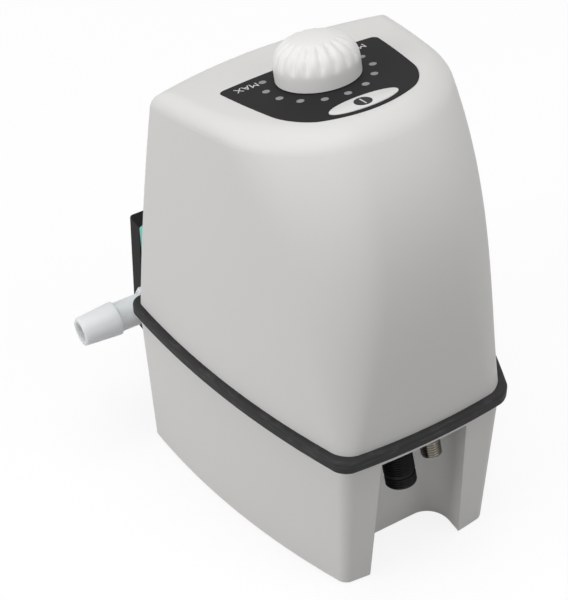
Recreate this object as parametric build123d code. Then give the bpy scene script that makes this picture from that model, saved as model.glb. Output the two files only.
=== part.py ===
from build123d import *
import math
import os
from dataclasses import dataclass

# Liquid transfer pump with a diaphragm head. Millimetres, +Z up, pump head
# toward -Y, cable recess toward +Y. Heights are counted from the rim of the
# lower housing, and every piece is moved to the shared origin when written.


@dataclass
class Plan:
    # One closed outline seen from above, straight-sided plans bowed outward.
    rear_half: float
    front_half: float
    rear_y: float
    front_y: float
    side_bow: float
    rear_bow: float
    front_bow: float
    rear_round: float
    front_round: float


# Lower housing
RIM_PLAN = Plan(33.75, 59.2, 56.0, -56.0, 5.2, 2.3, 2.3, 3.4, 3.6)
RIM_HEIGHT = 71.2
BASE_DRAFT_SIDE = 1.8
BASE_DRAFT_ENDS = 1.8
WALL = 2.5
FLOOR = 2.6

# Rear recess that the cables leave through
RECESS_CENTRE_X = 0.7
RECESS_HALF_TOP = 18.2
RECESS_HALF_BOTTOM = 20.6
RECESS_BACK = 39.4
RECESS_ROUND = 10.0
RECESS_LIP_BELOW_RIM = 6.3
RECESS_TILT = 20.0

# Upper housing
HOOD_FOOT = Plan(33.9, 58.9, 55.9, -56.0, 5.1, 2.1, 2.0, 5.0, 3.8)
HOOD_CROWN = Plan(39.4, 49.0, 14.4, -50.0, 1.2, 9.4, 8.5, 30.0, 2.5)
HOOD_WIDTH_EASE = (-0.9, 1.9, 0.0)
HOOD_FRONT_EASE = (0.6, 0.4)
HOOD_REAR_EASE = (0.38, -0.42, 1.04)
HOOD_ROUND_POWER = 0.9
HOOD_STATIONS = 7
CROWN_STATIONS = 5
CROWN_HEIGHT = 182.2
CROWN_TILT = 14.25
CROWN_PIVOT_Y = -17.1
CROWN_FILLET = 6.7

# Seal between the housings
SEAL_WEB = 1.2
SEAL_PROUD = 2.25
SEAL_HEIGHT = 6.0
SEAL_FILLET = 1.5

# Control panel, key and dial
PANEL = Plan(26.2, 32.1, 26.35, -13.95, 0.6, 9.8, 2.2, 9.9, 2.3)
PANEL_SINK = 0.8
PANEL_PROUD = 0.1
KEY_CENTRE = 29.4
KEY_HALF_LENGTH = 13.3
KEY_HALF_WIDTH = 4.5
KEY_PROUD = 0.7
KEY_TRAVEL = 0.6
KEY_GAP = 0.25
KEY_FLANGE = 0.9
KEY_STEM_RADIUS = 1.8
SWITCH_HALF = 3.0
SWITCH_COVER = 0.8
KNOB_RADIUS = 15.2
KNOB_HEIGHT = 15.0
KNOB_GAP = 0.5
KNOB_SKIRT = 3.8
KNOB_WALL = 1.6
KNOB_HUB_RADIUS = 5.2
KNOB_FLUTES = 18
FLUTE_RADIUS = 2.4
FLUTE_DEPTH = 0.55
SPINDLE_RADIUS = 3.0
SPINDLE_RISE = 11.0
SPINDLE_FLAT = 1.5
BUSHING_RADIUS = 3.5
RUNNING_FIT = 0.05
POT_BODY_RADIUS = 8.5
POT_BODY_HEIGHT = 7.0
POT_FLOOR = 1.5
POT_NUT_RADIUS = 5.5
POT_NUT_HEIGHT = 1.6

# Boards
BOARD_THICKNESS = 1.6
BOARD_BOSS_RADIUS = 2.6
CONTROL_BOARD_HALF_WIDTH = 24.0
CONTROL_BOARD_FRONT = -14.0
CONTROL_BOARD_REAR = 33.0
DRIVER_BOARD_HALF_WIDTH = 15.0
DRIVER_BOARD_LOW = 8.0
DRIVER_BOARD_BELOW_LIP = 12.9
DRIVER_BOARD_STANDOFF = 3.0
BOARD_EDGE = 1.0
BOARD_ROUND = 6.0
CAPACITOR_RADIUS = 4.0
CAPACITOR_HEIGHT = 9.0
CAPACITOR_STEP = 13.0
CAPACITOR_BELOW_EDGE = 12.0

# Diaphragm head, stacked from front to rear
HEAD_HALF_WIDTH = 48.0
HEAD_BELOW_RIM = 32.7
HEAD_ABOVE_RIM = 23.9
HEAD_ROUND = 1.2
HEAD_FRONT = -80.0
END_PLATE_THICKNESS = 8.3
END_PLATE_FLARE = 2.3
END_PLATE_CHAMFER = 0.4
HEAD_PLATE_THICKNESS = 11.7
MIDDLE_PLATE_THICKNESS = 5.0
DIAPHRAGM_THICKNESS = 2.4
DIAPHRAGM_RADIUS = 19.0
CHAMBER_RADIUS = 15.0
CHAMBER_DEPTH = 2.0
VALVE_RADIUS = 8.0
VALVE_THICKNESS = 1.6
VALVE_OFFSET = 11.0
VALVE_SLIT = 0.8
PORT_RADIUS = 3.0
DIAPHRAGM_RIM = 1.5
CUP_WALL = 1.6
CUP_REACH = 5.5

# Neck through the front wall
NECK_HALF_WIDTH = 34.0
NECK_HALF_HEIGHT = 22.5
NECK_ROUND = 4.0
NECK_GAP = 0.3
GASKET_THICKNESS = 1.5
GASKET_LIP = 2.0
GASKET_REACH = 8.6

# Hose nozzles
NOZZLE_Y = -65.6
NOZZLE_BELOW_RIM = 11.9
NOZZLE_TIP = 80.0
NOZZLE_BORE = 4.0
TUBE_RADIUS = 6.0
BARB_RADIUS = 6.9
BARB_LENGTH = 15.5
BARB_LAND = 1.0
TIP_RADIUS = 5.8
TIP_CHAMFER = 0.3
COLLAR_RADIUS = 8.2
COLLAR_LENGTH = 4.0
COLLAR_GAP = 0.3
THREAD_RADIUS = 4.9
THREAD_LENGTH = 12.0
O_RING_SECTION = 1.0
O_RING_WIDTH = 1.4

# Crank drive and motor
SHAFT_Y = -14.0
SHAFT_RADIUS = 2.5
THROW = 1.5
ECCENTRIC_RADIUS = 5.0
ECCENTRIC_HEIGHT = 11.0
ECCENTRIC_COLLAR = 1.0
ROD_BEARING_RADIUS = 9.5
ROD_RING = 3.0
ROD_SHANK = 9.0
ROD_END_RADIUS = 6.0
ROD_END_THICKNESS = 3.0
ROD_END_GAP = 2.6
ROD_RELIEF = 1.2
CRANKCASE_HALF_WIDTH = 27.0
CRANKCASE_REAR = 9.0
CRANK_BORE = 17.0
CRANKCASE_FLOOR = 5.0
BEARING_FLOOR = 1.0
SHAFT_GAP = 1.0
MOTOR_SCREW_LENGTH = 5.0
CRANKCASE_ROUND = 6.0
CRANKCASE_FLANGE = 5.0
MOTOR_RADIUS = 21.0
MOTOR_SHELL = 1.5
MOTOR_SCREW_CIRCLE = 15.0
CAN_SEAT_END = 1.0
MOTOR_HEADROOM = 31.9
MOTOR_GAP = 6.0
MAGNET_THICKNESS = 4.0
AIR_GAP = 0.5
WINDING_HEADROOM = 14.0
ROTOR_SLOTS = 7
ROTOR_SLOT_DEPTH = 5.0
ROTOR_SLOT_WIDTH = 1.8
BEARING_RADIUS = 8.0
BEARING_HEIGHT = 5.0
BEARING_GROOVE = 0.5
BEARING_GROOVE_HALF = 0.9
END_CAP = 3.0

# Stand under the crankcase
BRACKET_SHEET = 2.0
BRACKET_HALF_WIDTH = 25.0
BRACKET_FOOT = 12.0
BRACKET_HALF_DEPTH = 18.0
BRACKET_WINDOW = 9.0
BRACKET_WINDOW_EDGE = 8.0
MOUNT_RADIUS = 5.0
MOUNT_HEIGHT = 6.0
MOUNT_PAD = 1.0

# Connectors hanging from the sloped roof of the recess
POWER_X = 7.0
SIGNAL_X = -7.5
CONNECTOR_Y = 46.9
POWER_RADIUS = 6.0
POWER_REACH = 18.2
SIGNAL_RADIUS = 4.0
SIGNAL_REACH = 12.6
CONNECTOR_SEAT = 1.0
CONNECTOR_NUT_RIM = 1.6
CONNECTOR_NUT = 3.0
CONNECTOR_TAIL = 7.0
CONNECTOR_SHELL = 1.3
CONNECTOR_DEPTH = 8.0
RELIEF_PLACE = 5.2
RELIEF_WIDTH = 1.0
RELIEF_DEPTH = 0.6
INSERT_GAP = 0.8
INSERT_SINK = 1.5
CONTACT_RADIUS = 0.5

# Fasteners and feet
BOSS_RADIUS = 5.4
BOSS_FRONT = (46.0, -42.5)
BOSS_REAR = (28.2, 46.5)
WELL_RADIUS = 4.1
SCREW_HEAD_BELOW_RIM = 27.2
SCREW_RADIUS = 2.0
SCREW_HOLE = 2.1
SCREW_HEAD_RADIUS = 3.6
SCREW_HEAD_HEIGHT = 3.0
SCREW_LENGTH = 42.0
UPPER_BOSS_HEIGHT = 20.0
RIB_THICKNESS = 2.0
SOCKET_SIZE = 1.7
SOCKET_DEPTH = 1.6
HEAD_SCREW_X = 28.5
HEAD_SCREW_Z = 17.0
HEAD_SCREW_LENGTH = 32.0
HEAD_SCREW_SINK = 1.0
HEAD_WELL_RADIUS = 3.9
SMALL_SCREW = 1.25
SCREW_PASS = 1.45
SMALL_HEAD = 2.3
SMALL_HEAD_HEIGHT = 1.4
FOOT_RADIUS = 6.0
FOOT_SINK = 1.0
FOOT_PROUD = 0.8
FOOT_FRONT = (33.0, -42.0)
FOOT_REAR = (27.0, 32.5)

# Cutters run this far past what they cut
PAST = 1.0
FAR = 200.0

# Places that follow from the sizes above
HEAD_LOW = RIM_HEIGHT - HEAD_BELOW_RIM
HEAD_HIGH = RIM_HEIGHT + HEAD_ABOVE_RIM
NOZZLE_Z = RIM_HEIGHT - NOZZLE_BELOW_RIM
RECESS_LIP_Z = RIM_HEIGHT - RECESS_LIP_BELOW_RIM
DRIVER_BOARD_HIGH = RECESS_LIP_Z - DRIVER_BOARD_BELOW_LIP
WELL_DEPTH = RIM_HEIGHT - SCREW_HEAD_BELOW_RIM
BOARD_DEPTH = WALL + POT_BODY_HEIGHT
END_PLATE_BACK = HEAD_FRONT + END_PLATE_THICKNESS
HEAD_PLATE_BACK = END_PLATE_BACK + HEAD_PLATE_THICKNESS
MIDDLE_PLATE_BACK = HEAD_PLATE_BACK + MIDDLE_PLATE_THICKNESS
CRANKCASE_FRONT = MIDDLE_PLATE_BACK + DIAPHRAGM_THICKNESS
HEAD_AXIS_Z = (HEAD_LOW + HEAD_HIGH) / 2
NECK_LOW = HEAD_AXIS_Z - NECK_HALF_HEIGHT
NECK_HIGH = HEAD_AXIS_Z + NECK_HALF_HEIGHT
CASE_LOW = NECK_LOW
CASE_HIGH = NECK_HIGH
ROD_END_FRONT = CRANKCASE_FRONT + ROD_END_GAP
ECCENTRIC_PLACE = (THROW, SHAFT_Y)
MOTOR_LOW = CASE_HIGH + END_CAP
MOTOR_HIGH = CROWN_HEIGHT - MOTOR_HEADROOM
SHAFT_LOW = CASE_LOW + 1.5
SHAFT_HIGH = MOTOR_HIGH - 1.0
SEAL_REAR = RIM_PLAN.rear_y + RIM_PLAN.rear_bow + SEAL_PROUD
ORIGIN_Y = (HEAD_FRONT + SEAL_REAR) / 2
TO_ORIGIN = Pos(0, -ORIGIN_Y, FOOT_PROUD)
PANEL_TILT = math.radians(CROWN_TILT)
PANEL_PLANE = Plane(origin=(0, CROWN_PIVOT_Y, CROWN_HEIGHT), x_dir=(1, 0, 0),
                    z_dir=(0, -math.sin(PANEL_TILT), math.cos(PANEL_TILT)))
ROOF_TILT = math.radians(RECESS_TILT)
ROOF_RUN = RIM_PLAN.rear_y + RIM_PLAN.rear_bow - CONNECTOR_Y
ROOF_MIDDLE_Z = RECESS_LIP_Z - ROOF_RUN * math.tan(ROOF_TILT)
ROOF_PLANE = Plane(origin=(0, CONNECTOR_Y, ROOF_MIDDLE_Z), x_dir=(1, 0, 0),
                   z_dir=(0, math.sin(ROOF_TILT), -math.cos(ROOF_TILT)))
CORNERS = [(side * x, y) for x, y in (BOSS_FRONT, BOSS_REAR) for side in (1, -1)]
FEET = [(side * x, y) for x, y in (FOOT_FRONT, FOOT_REAR) for side in (1, -1)]
HEAD_SCREWS = [(side * HEAD_SCREW_X, HEAD_AXIS_Z + end * HEAD_SCREW_Z) for side in (-1, 1) for end in (-1, 1)]


def save(name, *shapes):
    placed = [TO_ORIGIN * shape for shape in shapes]
    solids = [solid for shape in placed for solid in shape.solids()]
    export_step(solids[0] if len(solids) == 1 else Compound(children=solids), f"parts/{name}.step")


# Closed outlines
def plan_wire(plan, plane=Plane.XY):
    corners = [(-plan.rear_half, plan.rear_y), (-plan.front_half, plan.front_y),
               (plan.front_half, plan.front_y), (plan.rear_half, plan.rear_y)]
    bows = [plan.side_bow, plan.front_bow, plan.side_bow, plan.rear_bow]
    rounds = [plan.rear_round, plan.front_round, plan.front_round, plan.rear_round]
    sides = []
    for index, bow in enumerate(bows):
        start, end = Vector(*corners[index]), Vector(*corners[(index + 1) % 4])
        along = (end - start).normalized()
        middle = (start + end) / 2 + Vector(along.Y, -along.X) * bow
        side = Edge.make_three_point_arc(start, middle, end)
        sides.append(side.trim(rounds[index] / side.length, 1 - rounds[(index + 1) % 4] / side.length))
    edges = []
    for side, following in zip(sides, sides[1:] + sides[:1]):
        leave, arrive = side @ 1, following @ 0
        out, back = side % 1, following % 0
        reach = (arrive - leave).cross(back).Z / out.cross(back).Z
        blend = Edge.make_bezier(leave, leave + out * reach, arrive, weights=[1, math.sqrt(0.5), 1])
        edges += [side, blend]
    return plane * Wire(edges)


def shrunk(plan, inset, drop_ends=None):
    ends = inset if drop_ends is None else drop_ends
    return Plan(plan.rear_half - inset, plan.front_half - inset, plan.rear_y - ends, plan.front_y + ends,
                plan.side_bow, plan.rear_bow, plan.front_bow,
                max(plan.rear_round - inset / 2, 1.0), max(plan.front_round - inset / 2, 1.0))


def level(height):
    return Plane(origin=(0, 0, height))


def block(x_low, x_high, y_low, y_high, z_low, z_high):
    return Pos((x_low + x_high) / 2, (y_low + y_high) / 2, (z_low + z_high) / 2) * Box(
        x_high - x_low, y_high - y_low, z_high - z_low)


def post(place, radius, low, high):
    return Pos(place[0], place[1], (low + high) / 2) * Cylinder(radius, high - low)


def along_y(place, radius, low, high):
    return Pos(place[0], (low + high) / 2, place[1]) * Rot(90, 0, 0) * Cylinder(radius, high - low)


def plate_y(half_width, z_low, z_high, corner, y_low, y_high):
    plane = Plane(origin=(0, y_low, (z_low + z_high) / 2), x_dir=(1, 0, 0), z_dir=(0, 1, 0))
    return extrude(plane * RectangleRounded(2 * half_width, z_high - z_low, corner), y_high - y_low)


# Housings
def eased(share, powers):
    return sum(weight * share ** (order + 1) for order, weight in enumerate(powers))


def hood_section(share, inset, crown_height):
    def between(low, high, amount=share):
        return low + (high - low) * amount
    foot, crown = HOOD_FOOT, HOOD_CROWN
    tilt = math.radians(CROWN_TILT) * share
    height = between(RIM_HEIGHT, crown_height)
    plan = Plan(between(foot.rear_half, crown.rear_half, eased(share, HOOD_WIDTH_EASE)),
                between(foot.front_half, crown.front_half, eased(share, HOOD_FRONT_EASE)),
                between(foot.rear_y, crown.rear_y, eased(share, HOOD_REAR_EASE)),
                between(foot.front_y, crown.front_y),
                between(foot.side_bow, crown.side_bow), between(foot.rear_bow, crown.rear_bow),
                between(foot.front_bow, crown.front_bow),
                between(foot.rear_round, crown.rear_round, share ** HOOD_ROUND_POWER),
                between(foot.front_round, crown.front_round))
    plan = shrunk(plan, inset)
    plan.rear_y = (plan.rear_y - CROWN_PIVOT_Y) / math.cos(tilt)
    plan.front_y = (plan.front_y - CROWN_PIVOT_Y) / math.cos(tilt)
    plane = Plane(origin=(0, CROWN_PIVOT_Y, height), x_dir=(1, 0, 0),
                  z_dir=(0, -math.sin(tilt), math.cos(tilt)))
    return plan_wire(plan, plane)


def hood_body(inset):
    # The walls are one loft, and a second one rolls over the crown's edge.
    top = CROWN_HEIGHT - inset
    rounding = CROWN_FILLET - inset / 2
    rise = top - RIM_HEIGHT
    shoulder = 1 - rounding / rise
    walls = [hood_section(shoulder * index / (HOOD_STATIONS - 1), inset, top)
             for index in range(HOOD_STATIONS)]
    crown = []
    for index in range(CROWN_STATIONS):
        angle = math.pi / 2 * index / (CROWN_STATIONS - 1)
        share = 1 - rounding * (1 - math.sin(angle)) / rise
        crown.append(hood_section(share, inset + rounding * (1 - math.cos(angle)), top))
    return Solid.make_loft(walls) + Solid.make_loft(crown)


def base_body(inset, low):
    lower = shrunk(RIM_PLAN, inset + BASE_DRAFT_SIDE, inset + BASE_DRAFT_ENDS)
    upper = shrunk(RIM_PLAN, inset)
    share = low / RIM_HEIGHT
    start = Plan(*(a + (b - a) * share for a, b in zip(vars(lower).values(), vars(upper).values())))
    return Solid.make_loft([plan_wire(start, level(low)), plan_wire(upper, level(RIM_HEIGHT))])


def recess_body(grow):
    def outline(half, height):
        back = RECESS_BACK - grow
        front = RIM_PLAN.rear_y + 3 * RIM_PLAN.rear_bow
        shape = Pos(RECESS_CENTRE_X, (back + front) / 2) * Rectangle(2 * (half + grow), front - back)
        shape = fillet(shape.vertices().filter_by(lambda v: v.Y < (back + front) / 2), RECESS_ROUND + grow)
        return level(height) * shape
    below = -FLOOR
    body = loft([outline(RECESS_HALF_BOTTOM, below), outline(RECESS_HALF_TOP, RIM_HEIGHT)])
    roof = ROOF_PLANE.offset(-grow)
    return split(body, bisect_by=roof, keep=Keep.TOP)


def neck_body(grow, y_low, y_high):
    return plate_y(NECK_HALF_WIDTH + grow, NECK_LOW - grow, NECK_HIGH + grow, NECK_ROUND + grow,
                   y_low, y_high)


def wall_opening():
    return neck_body(GASKET_THICKNESS, RIM_PLAN.front_y - 4 * GASKET_LIP, CRANKCASE_FRONT)


def roof_hole(x, radius):
    return ROOF_PLANE * Pos(x, 0, 0) * Cylinder(radius, 4 * WALL)


def board_posts():
    inset = BOARD_BOSS_RADIUS + BOARD_EDGE
    return [(side * (DRIVER_BOARD_HALF_WIDTH - inset), height) for side in (-1, 1)
            for height in (DRIVER_BOARD_LOW + inset, DRIVER_BOARD_HIGH - inset)]


def mount_places():
    x = BRACKET_HALF_WIDTH + BRACKET_FOOT / 2
    y = BRACKET_HALF_DEPTH - MOUNT_RADIUS
    return [(side * x, SHAFT_Y + end * y) for side in (-1, 1) for end in (-1, 1)]


def lower_housing():
    outer = base_body(0, 0)
    skin = outer - recess_body(0)
    shell = skin - (base_body(WALL, FLOOR) - recess_body(WALL))
    for corner in CORNERS:
        shell += post(corner, BOSS_RADIUS, FLOOR / 2, RIM_HEIGHT) & outer
    for place in mount_places():
        shell += post(place, MOUNT_RADIUS, FLOOR / 2, FLOOR + MOUNT_PAD)
        shell -= post(place, SMALL_SCREW, FLOOR / 2, FLOOR + MOUNT_PAD + PAST)
    rail = RECESS_BACK - WALL
    for place in board_posts():
        shell += along_y(place, BOARD_BOSS_RADIUS, rail - DRIVER_BOARD_STANDOFF, rail + WALL) - recess_body(0)
        shell -= along_y(place, SMALL_SCREW, rail - DRIVER_BOARD_STANDOFF - PAST, rail)
    for corner in CORNERS:
        shell -= post(corner, WELL_RADIUS, -PAST, WELL_DEPTH)
        shell -= post(corner, SCREW_HOLE, WELL_DEPTH - PAST, RIM_HEIGHT + PAST)
    for place in FEET:
        shell -= post(place, FOOT_RADIUS, -PAST, FOOT_SINK)
    shell -= block(-FAR, FAR, -FAR, FAR, RIM_HEIGHT - SEAL_WEB / 2, RIM_HEIGHT + WALL)
    shell -= wall_opening()
    shell -= roof_hole(POWER_X, POWER_RADIUS + RUNNING_FIT)
    shell -= roof_hole(SIGNAL_X, SIGNAL_RADIUS + RUNNING_FIT)
    return shell


def panel_face(inset=0):
    return Face(plan_wire(shrunk(PANEL, inset)))


def key_face(grow=0):
    return Pos(0, KEY_CENTRE) * Ellipse(KEY_HALF_LENGTH + grow, KEY_HALF_WIDTH + grow)


def ceiling_posts():
    inset = BOARD_BOSS_RADIUS + BOARD_EDGE
    return [(side * (CONTROL_BOARD_HALF_WIDTH - inset), y) for side in (-1, 1)
            for y in (CONTROL_BOARD_FRONT + inset, CONTROL_BOARD_REAR - 5 * BOARD_BOSS_RADIUS)]


def upper_housing():
    outer = hood_body(0)
    shell = outer - hood_body(WALL)
    for x, y in CORNERS:
        boss = post((x, y), BOSS_RADIUS, RIM_HEIGHT, RIM_HEIGHT + UPPER_BOSS_HEIGHT)
        away = math.copysign(2 * BOSS_RADIUS, x)
        rib = block(min(x, x + away), max(x, x + away), y - RIB_THICKNESS / 2, y + RIB_THICKNESS / 2,
                    RIM_HEIGHT, RIM_HEIGHT + UPPER_BOSS_HEIGHT)
        shell += (boss + rib) & outer
        shell -= post((x, y), SCREW_HOLE, RIM_HEIGHT - PAST, RIM_HEIGHT + UPPER_BOSS_HEIGHT - SCREW_RADIUS)
    for place in ceiling_posts():
        shell += PANEL_PLANE * post(place, BOARD_BOSS_RADIUS, -BOARD_DEPTH, -WALL / 2)
        shell -= PANEL_PLANE * post(place, SMALL_SCREW, -BOARD_DEPTH - PAST, -WALL)
    shell -= block(-FAR, FAR, -FAR, FAR, RIM_HEIGHT - PAST, RIM_HEIGHT + SEAL_WEB / 2)
    shell -= wall_opening()
    shell -= PANEL_PLANE * extrude(panel_face(-RUNNING_FIT), PANEL_SINK, both=True)
    shell -= PANEL_PLANE * post((0, 0), BUSHING_RADIUS + RUNNING_FIT, -2 * WALL, WALL)
    shell -= PANEL_PLANE * extrude(key_face(KEY_GAP), 2 * WALL, both=True)
    return shell


def housing_seal():
    bead_plan = shrunk(RIM_PLAN, -SEAL_PROUD)
    low = RIM_HEIGHT - SEAL_HEIGHT / 2
    bead = extrude(Face(plan_wire(bead_plan, level(low))), SEAL_HEIGHT)
    rim_edges = bead.edges().filter_by(lambda e: abs(e.center().Z - RIM_HEIGHT) > SEAL_HEIGHT / 2 - 0.01)
    bead = fillet(rim_edges, SEAL_FILLET)
    core = extrude(Face(plan_wire(shrunk(RIM_PLAN, WALL), level(low))), SEAL_HEIGHT)
    below = RIM_HEIGHT - SEAL_WEB / 2
    above = RIM_HEIGHT + SEAL_WEB / 2
    seal = bead - core
    seal -= base_body(0, 0) & block(-FAR, FAR, -FAR, FAR, 0, below)
    seal -= hood_body(0) & block(-FAR, FAR, -FAR, FAR, above, 2 * CROWN_HEIGHT)
    for corner in CORNERS:
        seal -= post(corner, SCREW_HOLE, low, low + SEAL_HEIGHT)
    return seal - wall_opening()


def neck_gasket():
    front = HEAD_PLATE_BACK
    sleeve = neck_body(GASKET_THICKNESS, front, front + GASKET_REACH)
    lip = neck_body(GASKET_THICKNESS + GASKET_LIP, front, RIM_PLAN.front_y + GASKET_LIP)
    lip -= base_body(0, 0) + (hood_body(0) & block(-FAR, FAR, -FAR, FAR, RIM_HEIGHT, 2 * CROWN_HEIGHT))
    lip -= housing_seal()
    lip = lip.solids().sort_by(SortBy.VOLUME)[-1]
    return (lip + sleeve) - neck_body(0, front - PAST, front + 2 * GASKET_REACH)


# Control panel, key and dial
def control_panel():
    panel = PANEL_PLANE * Pos(0, 0, -PANEL_SINK) * extrude(panel_face(), PANEL_SINK + PANEL_PROUD)
    panel -= PANEL_PLANE * post((0, 0), POT_NUT_RADIUS + BOARD_EDGE, -WALL, WALL)
    return panel - PANEL_PLANE * extrude(key_face(KEY_GAP), WALL, both=True)


def power_key():
    roof = -WALL - KEY_GAP
    cap = extrude(key_face(), WALL + KEY_GAP + KEY_PROUD)
    cap = fillet(cap.edges().sort_by(Axis.Z)[-1], KEY_PROUD / 2)
    flange = extrude(key_face(KEY_FLANGE), -KEY_FLANGE)
    stem = post((0, KEY_CENTRE), KEY_STEM_RADIUS, -POT_BODY_HEIGHT / 2, 0)
    return PANEL_PLANE * Pos(0, 0, roof) * (cap + flange + stem)


def key_switch():
    top = -WALL - KEY_GAP - POT_BODY_HEIGHT / 2 - KEY_TRAVEL - KEY_GAP
    body = block(-SWITCH_HALF, SWITCH_HALF, KEY_CENTRE - SWITCH_HALF, KEY_CENTRE + SWITCH_HALF,
                 -BOARD_DEPTH, top - SWITCH_COVER)
    return PANEL_PLANE * (body + post((0, KEY_CENTRE), KEY_STEM_RADIUS, top - 2 * SWITCH_COVER, top))


def control_board():
    face = Pos(0, (CONTROL_BOARD_FRONT + CONTROL_BOARD_REAR) / 2) * RectangleRounded(
        2 * CONTROL_BOARD_HALF_WIDTH, CONTROL_BOARD_REAR - CONTROL_BOARD_FRONT, BOARD_ROUND)
    board = Pos(0, 0, -BOARD_DEPTH) * extrude(face, -BOARD_THICKNESS)
    for place in ceiling_posts():
        board -= post(place, SCREW_PASS, -BOARD_DEPTH - 2 * BOARD_THICKNESS, -BOARD_DEPTH + PAST)
    return PANEL_PLANE * board


def board_screws(places, top, plane):
    shape = []
    for place in places:
        shank = post(place, SMALL_SCREW, top, top + 3 * BOARD_THICKNESS)
        head = post(place, SMALL_HEAD, top - SMALL_HEAD_HEIGHT, top)
        shape.append(plane * (shank + head))
    return shape


def potentiometer_body():
    body = post((0, 0), POT_BODY_RADIUS, -BOARD_DEPTH, -WALL)
    bushing = post((0, 0), BUSHING_RADIUS, -WALL, POT_NUT_HEIGHT + KNOB_GAP)
    bore = post((0, 0), SPINDLE_RADIUS + RUNNING_FIT, -BOARD_DEPTH + POT_FLOOR, WALL + POT_NUT_HEIGHT)
    return PANEL_PLANE * (body + bushing - bore)


def potentiometer_nut():
    nut = extrude(RegularPolygon(POT_NUT_RADIUS, 6), POT_NUT_HEIGHT)
    nut = Pos(0, 0, -PANEL_SINK) * nut - post((0, 0), BUSHING_RADIUS, -WALL, WALL)
    return PANEL_PLANE * nut


def spindle_body(grow=0):
    radius = SPINDLE_RADIUS + grow
    body = post((0, 0), radius, -BOARD_DEPTH + POT_FLOOR + KEY_GAP, SPINDLE_RISE + grow)
    flat = block(SPINDLE_FLAT + grow, 2 * radius, -radius, radius, WALL + POT_NUT_HEIGHT, 2 * SPINDLE_RISE)
    return body - flat


def potentiometer_spindle():
    return PANEL_PLANE * spindle_body()


def speed_knob():
    top, base, side = KNOB_HEIGHT, KNOB_GAP, KNOB_RADIUS
    with BuildSketch(Plane.XZ) as profile:
        with BuildLine():
            skirt = Line((0, base), (side - 0.4, base))
            lip = Line(skirt @ 1, (side, base + 0.4))
            wall = Line(lip @ 1, (side - 0.1, base + KNOB_SKIRT))
            dome = Spline(wall @ 1, (0.915 * side, 0.67 * top), (0.64 * side, 0.895 * top), (0, top),
                          tangents=[(-0.06, 1), (-1, 0)])
            Line(dome @ 1, skirt @ 0)
        make_face()
    knob = revolve(profile.sketch, Axis.Z)
    for index in range(KNOB_FLUTES):
        start = Vector(side + FLUTE_RADIUS - FLUTE_DEPTH, 0, base + KNOB_SKIRT + 1.2)
        end = Vector(0.70 * side + FLUTE_RADIUS, 0, top + 0.2)
        cutter = Plane(origin=start, z_dir=end - start) * Pos(0, 0, (end - start).length / 2) * Cylinder(
            FLUTE_RADIUS, (end - start).length)
        cutter += Pos(start) * Sphere(FLUTE_RADIUS)
        knob -= Rot(0, 0, index * 360 / KNOB_FLUTES) * cutter
    hollow_top = base + KNOB_SKIRT + 2 * PAST
    hollow = post((0, 0), side - KNOB_WALL - FLUTE_DEPTH, base - PAST, hollow_top)
    hollow -= post((0, 0), KNOB_HUB_RADIUS, base + POT_NUT_HEIGHT, hollow_top + PAST)
    hollow += post((0, 0), POT_NUT_RADIUS + KNOB_GAP, base - PAST, POT_NUT_HEIGHT + WALL)
    return PANEL_PLANE * (knob - hollow - spindle_body(RUNNING_FIT))


# Diaphragm head
def head_holes(radius, y_low, y_high):
    return [along_y(place, radius, y_low, y_high) for place in HEAD_SCREWS]


def end_plate():
    # Its sides flare a little toward the bottom.
    low, high = HEAD_HALF_WIDTH + END_PLATE_FLARE, HEAD_HALF_WIDTH
    outline = Polygon((-low, HEAD_LOW), (low, HEAD_LOW), (high, HEAD_HIGH), (-high, HEAD_HIGH), align=None)
    outline = fillet(outline.vertices(), HEAD_ROUND)
    plate = extrude(Plane.XZ.offset(-HEAD_FRONT) * outline, -END_PLATE_THICKNESS)
    plate = chamfer(plate.faces().sort_by(Axis.Y)[0].edges(), END_PLATE_CHAMFER)
    for hole in head_holes(SCREW_HOLE, HEAD_FRONT - PAST, END_PLATE_BACK + PAST):
        plate -= hole
    for side in (-1, 1):
        across = Pos(0, NOZZLE_Y, NOZZLE_Z) * Rot(0, side * 90, 0)
        plate -= across * post((0, 0), COLLAR_RADIUS + COLLAR_GAP, HEAD_HALF_WIDTH, 2 * HEAD_HALF_WIDTH)
    well_end = HEAD_FRONT + HEAD_SCREW_SINK + SCREW_HEAD_HEIGHT
    for well in head_holes(HEAD_WELL_RADIUS, HEAD_FRONT - PAST, well_end):
        plate -= well
    return plate


def valve_centres():
    return [(-VALVE_OFFSET, HEAD_AXIS_Z), (VALVE_OFFSET, HEAD_AXIS_Z)]


def head_plate():
    plate = plate_y(HEAD_HALF_WIDTH, HEAD_LOW, HEAD_HIGH, HEAD_ROUND, END_PLATE_BACK, HEAD_PLATE_BACK)
    for hole in head_holes(SCREW_HOLE, END_PLATE_BACK - PAST, HEAD_PLATE_BACK + PAST):
        plate -= hole
    for place in valve_centres():
        plate -= along_y(place, VALVE_RADIUS, HEAD_PLATE_BACK - VALVE_THICKNESS, HEAD_PLATE_BACK + PAST)
        plate -= along_y((place[0], NOZZLE_Z), PORT_RADIUS, NOZZLE_Y, HEAD_PLATE_BACK)
    for side in (-1, 1):
        across = Pos(0, NOZZLE_Y, NOZZLE_Z) * Rot(0, side * 90, 0)
        plate -= across * post((0, 0), PORT_RADIUS, VALVE_OFFSET, HEAD_HALF_WIDTH)
        seat = HEAD_HALF_WIDTH - THREAD_LENGTH - PAST
        plate -= across * post((0, 0), THREAD_RADIUS, seat, HEAD_HALF_WIDTH)
    return plate


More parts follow.
